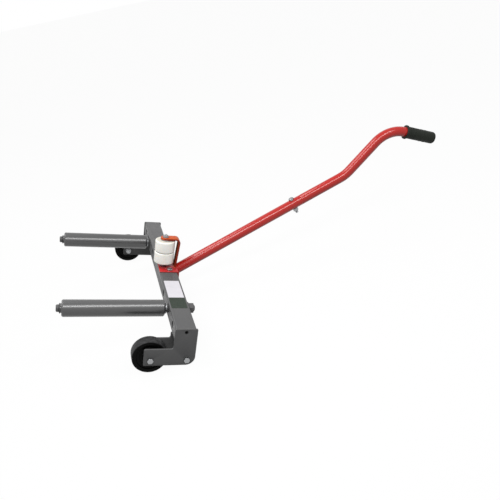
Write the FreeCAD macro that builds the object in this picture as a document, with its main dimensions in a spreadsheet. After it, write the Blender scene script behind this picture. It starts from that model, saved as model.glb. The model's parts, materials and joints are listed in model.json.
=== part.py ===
import FreeCAD, Part
import math
import os
import re
import Sketcher

# Driving sizes, in millimetres and degrees
SIZES = {
    # crossbar: a rectangular steel tube
    "bar_length": 840.0,
    "bar_width": 59.0,
    "bar_height": 46.0,
    "bar_wall": 3.0,
    "bar_corner": 4.0,
    # wheel forks at both ends of the crossbar
    "plate_thickness": 5.0,
    "fork_gap": 57.0,
    "axle_lead": 95.0,
    "axle_drop": 54.0,
    "fork_above_axle": 36.0,
    "fork_below_axle": 17.5,
    "fork_nose": 19.0,
    "plate_front_lip": 2.5,
    "plate_rear_lip": 4.0,
    "heel_radius": 27.0,
    "heel_bolt_inset": 24.0,
    "nose_corner": 5.0,
    "top_corner": 4.0,
    "inner_corner": 6.0,
    "vent_hole_dia": 10.0,
    "vent_hole_drop": 10.0,
    # wheels
    "wheel_dia": 102.0,
    "wheel_width": 36.0,
    "rim_bevel": 1.5,
    "rim_depth": 13.0,
    "web_recess": 4.0,
    "hub_dia": 38.0,
    "hub_width": 40.0,
    "wheel_bush_dia": 18.0,
    "wheel_spacer_dia": 20.0,
    # arms, their rollers and what holds them
    "arm_spacing": 524.0,
    "arm_hole_pitch": 100.0,
    "arm_rise": 2.5,
    "arm_dia": 22.0,
    "arm_thread_dia": 20.0,
    "collar_dia": 27.0,
    "collar_length": 6.0,
    "thrust_washer_dia": 34.0,
    "thrust_washer_thickness": 2.0,
    "roller_dia": 51.0,
    "roller_wall": 5.0,
    "roller_length": 298.0,
    "roller_edge": 3.5,
    "roller_bush_length": 30.0,
    "bush_hub_dia": 28.0,
    "bush_hub_length": 3.0,
    "tip_washer_dia": 31.0,
    "tip_washer_thickness": 2.0,
    "tip_ring_dia": 28.0,
    "tip_ring_thickness": 1.5,
    "tip_ring_opening": 8.0,
    "tip_groove_depth": 1.0,
    "tip_overhang": 9.0,
    "tip_chamfer": 2.5,
    "arm_nut_flats": 30.0,
    "arm_nut_height": 16.0,
    "arm_nut_washer_dia": 37.0,
    "arm_nut_washer_thickness": 3.0,
    "arm_thread_overhang": 4.0,
    # axle, heel and stud fasteners
    "axle_dia": 10.0,
    "axle_head_flats": 16.0,
    "axle_head_height": 6.4,
    "axle_nut_height": 8.4,
    "axle_washer_dia": 20.0,
    "axle_washer_thickness": 2.0,
    "heel_spacer_dia": 22.0,
    "thread_overhang": 3.0,
    # bracket on top of the crossbar
    "base_length": 105.0,
    "base_thickness": 2.5,
    "flange_thickness": 6.5,
    "base_flange_drop": 28.0,
    "base_flange_chamfer": 10.0,
    "base_bend": 6.0,
    "base_bolt_x": 5.0,
    "base_bolt_y": 38.0,
    "base_bolt_dia": 10.0,
    "base_bolt_flats": 17.0,
    "base_bolt_head": 6.4,
    "base_nut_height": 8.4,
    "base_washer_dia": 20.0,
    "base_washer_thickness": 2.0,
    "strap_width": 32.0,
    "strap_thickness": 6.0,
    "strap_foot_inset": 6.5,
    "strap_lean": 5.0,
    "strap_bend": 16.0,
    # side rollers on their stud
    "side_roller_dia": 66.0,
    "side_roller_height": 38.6,
    "side_roller_edge": 3.5,
    "side_roller_x": -12.0,
    "stud_dia": 10.0,
    "stud_nut_height": 5.0,
    "stud_spacer_dia": 22.0,
    "stud_spacer_length": 14.8,
    "middle_washer_dia": 30.0,
    "middle_washer_thickness": 1.0,
    "top_washer_thickness": 3.5,
    # handle
    "tube_dia": 34.0,
    "tube_wall": 1.5,
    "handle_angle": 33.6,
    "handle_root_drop": 8.93,
    "lower_handle_length": 491.8,
    "spigot_length": 70.0,
    "joint_bolt_inset": 30.0,
    "joint_bolt_dia": 10.0,
    "joint_bolt_flats": 16.0,
    "joint_bolt_head": 6.4,
    "joint_nut_height": 10.0,
    "joint_bolt_overhang": 9.0,
    "upper_straight": 178.0,
    "first_bend_angle": 20.6,
    "middle_run": 215.7,
    "second_bend_angle": 60.2,
    "grip_run": 182.5,
    "bend_radius": 122.0,
    # grip
    "grip_length": 117.0,
    "grip_dia": 41.0,
    "grip_flange_dia": 48.0,
    "grip_flange_width": 6.0,
    "grip_end_wall": 5.0,
    "grip_end_round": 9.0,
    # clearances
    "running_gap": 0.05,
    "seat_gap": 0.02,
    "hole_gap": 0.25,
    "side_play": 0.3,
}

HEX_CHAMFER_SHARE = 0.475
NEAR = 1e-4
X_AXIS = FreeCAD.Vector(1, 0, 0)
Y_AXIS = FreeCAD.Vector(0, 1, 0)
Z_AXIS = FreeCAD.Vector(0, 0, 1)
SIDES = {"left": -1, "right": 1}

# Places in the jack's own level frame: X from the arms' side to the handle's side,
# Y along the crossbar, Z up, all from the middle of the crossbar
BAR_FACE = "bar_width / 2"
BAR_TOP = "bar_height / 2"
BAR_BOTTOM = "-bar_height / 2"
BAR_END = "bar_length / 2"
ARM_Y = "arm_spacing / 2"
AXLE_X = "-axle_lead"
AXLE_Z = "-(bar_height / 2 + axle_drop)"
PLATE_REAR = "bar_width / 2 + plate_rear_lip"
PLATE_FRONT = "-(bar_width / 2 + plate_front_lip)"
PLATE_NOSE = "-(axle_lead + fork_nose)"
FORK_TOP = f"{AXLE_Z} + fork_above_axle"
FORK_BOTTOM = f"{AXLE_Z} - fork_below_axle"
HEEL_BOLT_X = f"{PLATE_REAR} - heel_bolt_inset"
HEEL_X = f"{PLATE_REAR} - heel_radius"
HEEL_Z = f"{FORK_BOTTOM} + heel_radius"
WHEEL_Y = "bar_length / 2 - fork_gap / 2"
INNER_PLATE_Y = "bar_length / 2 - fork_gap - plate_thickness / 2"
BASE_TOP = f"{BAR_TOP} + base_thickness"
BASE_OUTER = f"{BAR_FACE} + flange_thickness"
STRAP_FOOT = f"{BASE_OUTER} - strap_foot_inset"
LOWER_ROLLER_Z = f"{BASE_TOP} + stud_spacer_length + side_play"
MIDDLE_WASHER_Z = f"{LOWER_ROLLER_Z} + side_roller_height + side_play"
UPPER_ROLLER_Z = f"{MIDDLE_WASHER_Z} + middle_washer_thickness + side_play"
TOP_WASHER_Z = f"{UPPER_ROLLER_Z} + side_roller_height + side_play"
STRAP_UNDER = f"{TOP_WASHER_Z} + top_washer_thickness"
STRAP_TOP = f"{STRAP_UNDER} + strap_thickness"
ROOT_WASHER_A = f"{BAR_FACE} + collar_length"
ROLLER_A = f"{ROOT_WASHER_A} + thrust_washer_thickness + side_play + bush_hub_length"
TIP_WASHER_A = f"{ROLLER_A} + roller_length + bush_hub_length + side_play"
TIP_RING_A = f"{TIP_WASHER_A} + tip_washer_thickness"
ARM_END_A = f"{TIP_RING_A} + tip_ring_thickness + tip_overhang"
AXLE_GRIP = "2 * plate_thickness + fork_gap"

doc = FreeCAD.newDocument("PositioningJack")
sheet = doc.addObject("Spreadsheet::Sheet", "Sizes")
for row, (alias, value) in enumerate(SIZES.items(), start=1):
    sheet.set(f"A{row}", alias)
    sheet.set(f"B{row}", str(value))
    sheet.setAlias(f"B{row}", alias)
doc.recompute()

WORD = re.compile(r"[a-z][a-z0-9_]*")
pieces = {}


def bound(formula):
    """Write a formula of size names as an expression on the sheet's cells."""
    return WORD.sub(lambda word: f"Sizes.{word[0]}" if word[0] in SIZES else word[0], str(formula))


def measure(formula):
    """Give the value of a formula of size names."""
    return float(sheet.evalExpression(bound(formula)))


def bind(item, name, formula):
    """Tie one property of an object to the sheet."""
    item.setExpression(name, bound(formula))


def spot(x="0", y="0", z="0", turn=FreeCAD.Rotation()):
    """Give a placement in the level frame from formulas and a rotation."""
    return FreeCAD.Placement(FreeCAD.Vector(measure(x), measure(y), measure(z)), turn)


def keep(label, item, place=FreeCAD.Placement()):
    """Register a finished piece under its name, with its place in the level frame."""
    item.Label = label
    pieces[label] = (item, place)
    return item


def keep_group(label, items):
    """Register separate solids that share one name."""
    group = doc.addObject("Part::Compound", f"{label}_group")
    group.Links = items
    return keep(label, group)


# Sketches and features of a body

def new_sketch(body, role):
    """Start a sketch on one of a body's own planes."""
    sketch = body.newObject("Sketcher::SketchObject", "Sketch")
    plane = next(item for item in body.Origin.OriginFeatures if item.Role == role)
    sketch.AttachmentSupport = (plane, [""])
    sketch.MapMode = "FlatFace"
    return sketch


def pin_point(sketch, geometry, end, across, up):
    """Tie one point of a sketch to two formulas."""
    for kind, formula in (("DistanceX", across), ("DistanceY", up)):
        rule = Sketcher.Constraint(kind, -1, 1, geometry, end, measure(formula))
        number = sketch.addConstraint(rule)
        bind(sketch, f"Constraints[{number}]", formula)


def draw_outline(sketch, points):
    """Draw a closed outline with straight sides through points given as formulas."""
    corners = [FreeCAD.Vector(measure(across), measure(up), 0) for across, up in points]
    count = len(corners)
    first = sketch.GeometryCount
    for index in range(count):
        sketch.addGeometry(Part.LineSegment(corners[index], corners[(index + 1) % count]))
    for index in range(count):
        following = first + (index + 1) % count
        sketch.addConstraint(Sketcher.Constraint("Coincident", first + index, 2, following, 1))
    for index, (across, up) in enumerate(points):
        pin_point(sketch, first + index, 1, across, up)


def draw_circle(sketch, across, up, diameter):
    """Draw a circle with its centre and diameter given as formulas."""
    centre = FreeCAD.Vector(measure(across), measure(up), 0)
    circle = sketch.addGeometry(Part.Circle(centre, Z_AXIS, measure(diameter) / 2))
    pin_point(sketch, circle, 3, across, up)
    number = sketch.addConstraint(Sketcher.Constraint("Diameter", circle, measure(diameter)))
    bind(sketch, f"Constraints[{number}]", diameter)


def cut_through(body, role, circles=(), outline=None):
    """Cut round holes, or one outline, right through a body, both ways from a plane."""
    sketch = new_sketch(body, role)
    for across, up, diameter in circles:
        draw_circle(sketch, across, up, diameter)
    if outline:
        draw_outline(sketch, outline)
    pocket = body.newObject("PartDesign::Pocket", "Pocket")
    pocket.Profile = sketch
    pocket.Type = "ThroughAll"
    pocket.SideType = "Symmetric"


def padded(label, outline, width, hollow=None):
    """Pad an outline in the XZ plane to both sides, with an outline left open inside it."""
    body = doc.addObject("PartDesign::Body", label)
    sketch = new_sketch(body, "XZ_Plane")
    draw_outline(sketch, outline)
    if hollow:
        draw_outline(sketch, hollow)
    feature = body.newObject("PartDesign::Pad", "Pad")
    feature.Profile = sketch
    feature.SideType = "Symmetric"
    bind(feature, "Length", width)
    return body


def turned(label, profile):
    """Turn a profile of (along, radius) formulas about the X axis."""
    body = doc.addObject("PartDesign::Body", label)
    sketch = new_sketch(body, "XZ_Plane")
    draw_outline(sketch, profile)
    feature = body.newObject("PartDesign::Revolution", "Revolution")
    feature.Profile = sketch
    feature.ReferenceAxis = (sketch, ["H_Axis"])
    return body


def round_edges(body, radius, wanted):
    """Round the edges of a body that a test picks."""
    doc.recompute()
    base = body.Tip
    names = [f"Edge{number}" for number, edge in enumerate(base.Shape.Edges, start=1) if wanted(edge)]
    feature = body.newObject("PartDesign::Fillet", "Fillet")
    feature.Base = (base, names)
    bind(feature, "Radius", radius)


def crosswise_at(points):
    """Make a test for straight edges along Y that stand at given points of the XZ plane."""
    places = [(measure(across), measure(up)) for across, up in points]

    def wanted(edge):
        return any(
            all(math.hypot(end.X - x, end.Z - z) < NEAR for end in edge.Vertexes) for x, z in places
        )

    return wanted


def upright_at(across):
    """Make a test for straight edges along Z at one place along X."""
    place = measure(across)

    def wanted(edge):
        ends = edge.Vertexes
        return all(abs(end.X - place) < NEAR for end in ends) and abs(ends[0].Y - ends[-1].Y) < NEAR

    return wanted


def round_at(radius, places):
    """Make a test for full circles about X of one radius at given places along X."""
    size = measure(radius)
    stations = [measure(place) for place in places]

    def wanted(edge):
        if not isinstance(edge.Curve, Part.Circle) or abs(edge.Curve.Radius - size) > NEAR:
            return False
        return any(abs(edge.Curve.Center.x - station) < NEAR for station in stations)

    return wanted


# Rings, nuts and bolts

def cylinder(label, diameter, length, start="0"):
    """Make a plain cylinder along Z."""
    item = doc.addObject("Part::Cylinder", label)
    bind(item, "Radius", f"({diameter}) / 2")
    bind(item, "Height", length)
    item.Placement = spot(z=start)
    return item


def cut(label, base, tool):
    """Cut one solid out of another."""
    item = doc.addObject("Part::Cut", label)
    item.Base = base
    item.Tool = tool
    return item


def ring(label, outer, inner, length, place=FreeCAD.Placement()):
    """Make a washer, spacer or sleeve along Z."""
    item = cut(label, cylinder(f"{label}_disc", outer, length), cylinder(f"{label}_bore", inner, length))
    item.Placement = place
    return item


def hexagon(label, flats, height):
    """Make a hexagonal head along Z, chamfered at its top."""
    prism = doc.addObject("Part::Prism", f"{label}_hexagon")
    prism.Polygon = 6
    bind(prism, "Circumradius", f"{flats} / 2 / cos(30)")
    bind(prism, "Height", height)
    cone = doc.addObject("Part::Cone", f"{label}_chamfer")
    bind(cone, "Radius1", f"{flats} * {HEX_CHAMFER_SHARE} + ({height}) * tan(60)")
    bind(cone, "Radius2", f"{flats} * {HEX_CHAMFER_SHARE}")
    bind(cone, "Height", height)
    head = doc.addObject("Part::Common", f"{label}_head")
    head.Base = prism
    head.Tool = cone
    return head


def bolt(label, flats, height, diameter, length, place):
    """Make a hexagon bolt: its head stands along +Z and its shank along -Z."""
    item = doc.addObject("Part::Fuse", label)
    item.Base = hexagon(label, flats, height)
    item.Tool = cylinder(f"{label}_shank", diameter, length, f"-({length})")
    item.Placement = place
    return item


def nut(label, flats, height, diameter, place):
    """Make a hexagon nut along +Z."""
    bore = cylinder(f"{label}_bore", f"{diameter} + 2 * running_gap", height)
    item = cut(label, hexagon(label, flats, height), bore)
    item.Placement = place
    return item


# The sub-parts

def make_crossbar():
    """Rectangular tube with three arm holes for each arm and the bracket's bolt holes."""
    def rectangle(width, height):
        return [(f"-{width}", f"-{height}"), (width, f"-{height}"), (width, height), (f"-{width}", height)]

    outside = rectangle("bar_width / 2", "bar_height / 2")
    inside = rectangle("(bar_width / 2 - bar_wall)", "(bar_height / 2 - bar_wall)")
    body = padded("crossbar", outside, "bar_length", inside)
    round_edges(body, "bar_corner", crosswise_at(outside))
    arm_holes = [
        (f"{side} * ({ARM_Y} + {step} * arm_hole_pitch)", "arm_rise", "arm_dia + 2 * hole_gap")
        for side in SIDES.values()
        for step in (-1, 0, 1)
    ]
    cut_through(body, "YZ_Plane", arm_holes)
    bolt_holes = [
        ("base_bolt_x", f"{side} * base_bolt_y", "base_bolt_dia + 2 * hole_gap") for side in SIDES.values()
    ]
    cut_through(body, "XY_Plane", bolt_holes)
    keep("crossbar", body)


def make_fork_plate(label, top, place, vented):
    """L-shaped fork plate with a nose for the axle and a rounded heel."""
    heel = (PLATE_REAR, FORK_BOTTOM)
    inner = (PLATE_FRONT, FORK_TOP)
    nose = [(PLATE_NOSE, FORK_TOP), (PLATE_NOSE, FORK_BOTTOM)]
    top_corners = [(PLATE_REAR, top), (PLATE_FRONT, top)]
    body = padded(label, [*nose, heel, *top_corners, inner], "plate_thickness")
    round_edges(body, "heel_radius", crosswise_at([heel]))
    round_edges(body, "nose_corner", crosswise_at(nose))
    round_edges(body, "inner_corner", crosswise_at([inner]))
    bolt_hole = "axle_dia + 2 * hole_gap"
    holes = [(AXLE_X, AXLE_Z, bolt_hole), (HEEL_BOLT_X, AXLE_Z, bolt_hole)]
    if vented:
        round_edges(body, "top_corner", crosswise_at(top_corners))
        holes.append((f"({PLATE_REAR} + {PLATE_FRONT}) / 2", f"{top} - vent_hole_drop", "vent_hole_dia"))
    cut_through(body, "XZ_Plane", holes)
    keep(label, body, place)


def make_forks():
    """Two plates at each end of the crossbar, with the bolts that tie them."""
    sets = {name: [] for name in ("axle_bolts", "axle_nuts", "axle_washers", "wheel_spacers",
                                  "heel_bolts", "heel_nuts", "heel_washers", "heel_spacers")}
    for name, side in SIDES.items():
        outer_face = f"{side} * ({BAR_END} + plate_thickness)"
        inner_face = f"{side} * ({BAR_END} - fork_gap - plate_thickness)"
        outer_y = f"{side} * ({BAR_END} + plate_thickness / 2)"
        make_fork_plate(f"{name}_end_plate", BAR_TOP, spot(y=outer_y), True)
        make_fork_plate(f"{name}_inner_plate", BAR_BOTTOM, spot(y=f"{side} * ({INNER_PLATE_Y})"), False)
        outward = FreeCAD.Rotation(X_AXIS, -90 * side)
        inward = FreeCAD.Rotation(X_AXIS, 90 * side)
        for use, x in (("axle", AXLE_X), ("heel", HEEL_BOLT_X)):
            length = f"{AXLE_GRIP} + axle_washer_thickness + axle_nut_height + thread_overhang"
            sets[f"{use}_bolts"].append(
                bolt(f"{name}_{use}_bolt", "axle_head_flats", "axle_head_height", "axle_dia", length,
                     spot(x, outer_face, AXLE_Z, outward)))
            sets[f"{use}_washers"].append(
                ring(f"{name}_{use}_washer", "axle_washer_dia", "axle_dia + 2 * hole_gap",
                     "axle_washer_thickness", spot(x, inner_face, AXLE_Z, inward)))
            nut_y = f"{inner_face} - {side} * axle_washer_thickness"
            sets[f"{use}_nuts"].append(
                nut(f"{name}_{use}_nut", "axle_head_flats", "axle_nut_height", "axle_dia",
                    spot(x, nut_y, AXLE_Z, inward)))
        sets["heel_spacers"].append(
            ring(f"{name}_heel_spacer", "heel_spacer_dia", "axle_dia + 2 * hole_gap", "fork_gap",
                 spot(HEEL_BOLT_X, f"{side} * {BAR_END}", AXLE_Z, inward)))
        spacer_length = "(fork_gap - hub_width) / 2 - side_play"
        for place in (spot(AXLE_X, f"{side} * {BAR_END}", AXLE_Z, inward),
                      spot(AXLE_X, f"{side} * ({BAR_END} - fork_gap)", AXLE_Z, outward)):
            number = len(sets["wheel_spacers"])
            sets["wheel_spacers"].append(
                ring(f"wheel_spacer_{number}", "wheel_spacer_dia", "axle_dia + 2 * hole_gap",
                     spacer_length, place))
    for label, items in sets.items():
        keep_group(label, items)


def make_wheel(name, side):
    """Solid wheel with a bevelled rim and a dished web, on a pressed-in bush."""
    turn = FreeCAD.Rotation(Z_AXIS, 90)
    place = spot(AXLE_X, f"{side} * ({WHEEL_Y})", AXLE_Z, turn)
    rim_face = "wheel_width / 2"
    web_face = "(wheel_width / 2 - web_recess)"
    rim_foot = "wheel_dia / 2 - rim_depth"
    bore = "wheel_bush_dia / 2 + seat_gap"
    half = [
        ("hub_width / 2", bore),
        ("hub_width / 2", "hub_dia / 2 - web_recess / 2"),
        (web_face, "hub_dia / 2"),
        (web_face, f"{rim_foot} - web_recess / 2"),
        (rim_face, rim_foot),
        (rim_face, "wheel_dia / 2 - rim_bevel"),
        (f"{rim_face} - rim_bevel", "wheel_dia / 2"),
    ]
    other_half = [(f"-({along})", radius) for along, radius in reversed(half)]
    body = turned(f"{name}_wheel", half + other_half)
    keep(f"{name}_wheel", body, place)
    bush = [
        ("-hub_width / 2", "axle_dia / 2 + running_gap"),
        ("hub_width / 2", "axle_dia / 2 + running_gap"),
        ("hub_width / 2", "wheel_bush_dia / 2"),
        ("-hub_width / 2", "wheel_bush_dia / 2"),
    ]
    keep(f"{name}_wheel_bush", turned(f"{name}_wheel_bush", bush), place)


def make_arm_shaft(name, place):
    """Arm with a threaded root, a collar against the crossbar and a grooved tip."""
    root = "-(bar_width / 2 + arm_nut_washer_thickness + arm_nut_height + arm_thread_overhang)"
    thread_end = "-(bar_width / 2 - bar_wall / 2)"
    groove = "arm_dia / 2 - tip_groove_depth"
    profile = [
        (root, "0"),
        (root, "arm_thread_dia / 2"),
        (thread_end, "arm_thread_dia / 2"),
        (thread_end, "arm_dia / 2"),
        (BAR_FACE, "arm_dia / 2"),
        (BAR_FACE, "collar_dia / 2"),
        (ROOT_WASHER_A, "collar_dia / 2"),
        (ROOT_WASHER_A, "arm_dia / 2"),
        (TIP_RING_A, "arm_dia / 2"),
        (TIP_RING_A, groove),
        (f"{TIP_RING_A} + tip_ring_thickness", groove),
        (f"{TIP_RING_A} + tip_ring_thickness", "arm_dia / 2"),
        (f"{ARM_END_A} - tip_chamfer", "arm_dia / 2"),
        (ARM_END_A, "arm_dia / 2 - tip_chamfer"),
        (ARM_END_A, "0"),
    ]
    keep(f"{name}_arm_shaft", turned(f"{name}_arm_shaft", profile), place)


def make_roller(name, place):
    """Roller tube with a stepped bush in each end, free to turn on its arm."""
    tube_end = f"{ROLLER_A} + roller_length"
    inside = "roller_dia / 2 - roller_wall"
    outside = "roller_dia / 2"
    rim = f"{outside} - roller_edge"
    tube = [(ROLLER_A, inside), (tube_end, inside), (tube_end, rim), (f"{tube_end} - roller_edge", outside),
            (f"{ROLLER_A} + roller_edge", outside), (ROLLER_A, rim)]
    keep(f"{name}_roller_tube", turned(f"{name}_roller_tube", tube), place)
    bushes = []
    for number, (face, inward) in enumerate(((ROLLER_A, 1), (tube_end, -1))):
        hub_end = f"{face} - {inward} * bush_hub_length"
        plug_end = f"{face} + {inward} * roller_bush_length"
        bore = "arm_dia / 2 + running_gap"
        plug = f"{inside} - seat_gap"
        profile = [(hub_end, bore), (plug_end, bore), (plug_end, plug), (face, plug),
                   (face, "bush_hub_dia / 2"), (hub_end, "bush_hub_dia / 2")]
        body = turned(f"{name}_roller_bush_{number}", profile)
        body.Placement = place
        bushes.append(body)
    keep_group(f"{name}_roller_bushes", bushes)


def make_arms():
    """Both arms with their rollers, washers, retaining rings and nuts."""
    sets = {name: [] for name in ("root_thrust_washers", "tip_washers", "tip_rings",
                                  "arm_nut_washers", "arm_nuts")}
    for name, side in SIDES.items():
        y = f"{side} * {ARM_Y}"
        place = spot(y=y, z="arm_rise", turn=FreeCAD.Rotation(Z_AXIS, 180))
        make_arm_shaft(name, place)
        make_roller(name, place)
        to_tip = FreeCAD.Rotation(Y_AXIS, -90)
        to_root = FreeCAD.Rotation(Y_AXIS, 90)
        loose_bore = "arm_dia + 2 * hole_gap"
        sets["root_thrust_washers"].append(
            ring(f"{name}_root_washer", "thrust_washer_dia", loose_bore, "thrust_washer_thickness",
                 spot(f"-({ROOT_WASHER_A})", y, "arm_rise", to_tip)))
        sets["tip_washers"].append(
            ring(f"{name}_tip_washer", "tip_washer_dia", loose_bore, "tip_washer_thickness",
                 spot(f"-({TIP_WASHER_A})", y, "arm_rise", to_tip)))
        clip = ring(f"{name}_tip_clip", "tip_ring_dia", "arm_dia - 2 * tip_groove_depth + 2 * running_gap",
                    "tip_ring_thickness")
        opening = doc.addObject("Part::Box", f"{name}_tip_ring_opening")
        bind(opening, "Length", "tip_ring_dia")
        bind(opening, "Width", "tip_ring_opening")
        bind(opening, "Height", "tip_ring_thickness")
        opening.Placement = spot(y="-tip_ring_opening / 2")
        tip_ring = cut(f"{name}_tip_ring", clip, opening)
        tip_ring.Placement = spot(f"-({TIP_RING_A})", y, "arm_rise", to_tip)
        sets["tip_rings"].append(tip_ring)
        sets["arm_nut_washers"].append(
            ring(f"{name}_arm_nut_washer", "arm_nut_washer_dia", "arm_thread_dia + 2 * hole_gap",
                 "arm_nut_washer_thickness", spot(BAR_FACE, y, "arm_rise", to_root)))
        sets["arm_nuts"].append(
            nut(f"{name}_arm_nut", "arm_nut_flats", "arm_nut_height", "arm_thread_dia",
                spot(f"{BAR_FACE} + arm_nut_washer_thickness", y, "arm_rise", to_root)))
    for label, items in sets.items():
        keep_group(label, items)


def make_bracket():
    """Base angle bolted over the crossbar and the strap welded on top of it."""
    flange_end = f"{BAR_TOP} - base_flange_drop"
    bend = (BASE_OUTER, BASE_TOP)
    base = padded("bracket_base", [
        (f"-({BAR_FACE})", BAR_TOP),
        (BAR_FACE, BAR_TOP),
        (BAR_FACE, flange_end),
        (BASE_OUTER, flange_end),
        bend,
        (f"-({BAR_FACE})", BASE_TOP),
    ], "base_length")
    round_edges(base, "base_bend", crosswise_at([bend]))
    holes = [
        ("base_bolt_x", f"{side} * base_bolt_y", "base_bolt_dia + 2 * hole_gap") for side in SIDES.values()
    ]
    holes.append(("side_roller_x", "0", "stud_dia + 2 * seat_gap"))
    cut_through(base, "XY_Plane", holes)
    for side in SIDES.values():
        end = f"{side} * base_length / 2"
        cut_through(base, "YZ_Plane", outline=[
            (end, flange_end),
            (end, f"{flange_end} + base_flange_chamfer"),
            (f"{end} - {side} * base_flange_chamfer", flange_end),
        ])
    keep("bracket_base", base)

    tongue = "side_roller_x - strap_width / 2"
    inner_foot = f"{STRAP_FOOT} - strap_thickness / cos(strap_lean)"
    corner = (f"{STRAP_FOOT} + ({STRAP_TOP} - ({BASE_TOP})) * tan(strap_lean)", STRAP_TOP)
    crook = (f"{inner_foot} + ({STRAP_UNDER} - ({BASE_TOP})) * tan(strap_lean)", STRAP_UNDER)
    strap = padded("bracket_strap", [
        (inner_foot, BASE_TOP),
        (STRAP_FOOT, BASE_TOP),
        corner,
        (tongue, STRAP_TOP),
        (tongue, STRAP_UNDER),
        crook,
    ], "strap_width")
    round_edges(strap, "strap_bend", crosswise_at([corner]))
    round_edges(strap, "strap_bend - strap_thickness", crosswise_at([crook]))
    round_edges(strap, "strap_width / 2 - hole_gap", upright_at(tongue))
    cut_through(strap, "XY_Plane", [("side_roller_x", "0", "stud_dia + 2 * hole_gap")])
    keep("bracket_strap", strap)

    down = FreeCAD.Rotation(X_AXIS, 180)
    sets = {name: [] for name in ("base_bolts", "base_washers", "base_nuts")}
    length = "base_thickness + bar_height + base_washer_thickness + base_nut_height + thread_overhang"
    for name, side in SIDES.items():
        y = f"{side} * base_bolt_y"
        sets["base_bolts"].append(
            bolt(f"{name}_base_bolt", "base_bolt_flats", "base_bolt_head", "base_bolt_dia", length,
                 spot("base_bolt_x", y, BASE_TOP)))
        sets["base_washers"].append(
            ring(f"{name}_base_washer", "base_washer_dia", "base_bolt_dia + 2 * hole_gap",
                 "base_washer_thickness", spot("base_bolt_x", y, BAR_BOTTOM, down)))
        sets["base_nuts"].append(
            nut(f"{name}_base_nut", "base_bolt_flats", "base_nut_height", "base_bolt_dia",
                spot("base_bolt_x", y, f"{BAR_BOTTOM} - base_washer_thickness", down)))
    for label, items in sets.items():
        keep_group(label, items)


def make_side_rollers():
    """Two rollers on an upright stud between the base and the strap."""
    x = "side_roller_x"
    top_washer_end = f"{STRAP_TOP} + axle_washer_thickness"
    stud_length = f"{top_washer_end} + stud_nut_height + thread_overhang - ({BAR_TOP})"
    stud = cylinder("side_roller_stud", "stud_dia", stud_length)
    keep("side_roller_stud", stud, spot(x, "0", BAR_TOP))
    loose_bore = "stud_dia + 2 * hole_gap"
    keep("side_roller_spacer",
         ring("side_roller_spacer", "stud_spacer_dia", loose_bore, "stud_spacer_length"),
         spot(x, "0", BASE_TOP))
    upright = FreeCAD.Rotation(Y_AXIS, -90)
    bore = "stud_dia / 2 + running_gap"
    profile = [("0", bore), ("side_roller_height", bore), ("side_roller_height", "side_roller_dia / 2"),
               ("0", "side_roller_dia / 2")]
    rims = round_at("side_roller_dia / 2", ("0", "side_roller_height"))
    for label, height in (("lower_side_roller", LOWER_ROLLER_Z), ("upper_side_roller", UPPER_ROLLER_Z)):
        roller = turned(label, profile)
        round_edges(roller, "side_roller_edge", rims)
        keep(label, roller, spot(x, "0", height, upright))
    keep("side_roller_middle_washer",
         ring("side_roller_middle_washer", "middle_washer_dia", loose_bore, "middle_washer_thickness"),
         spot(x, "0", MIDDLE_WASHER_Z))
    keep("side_roller_top_washer",
         ring("side_roller_top_washer", "middle_washer_dia", loose_bore, "top_washer_thickness"),
         spot(x, "0", TOP_WASHER_Z))
    keep("stud_nut_washer",
         ring("stud_nut_washer", "axle_washer_dia", loose_bore, "axle_washer_thickness"),
         spot(x, "0", STRAP_TOP))
    keep("stud_nut", nut("stud_nut", "axle_head_flats", "stud_nut_height", "stud_dia", FreeCAD.Placement()),
         spot(x, "0", top_washer_end))


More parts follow.
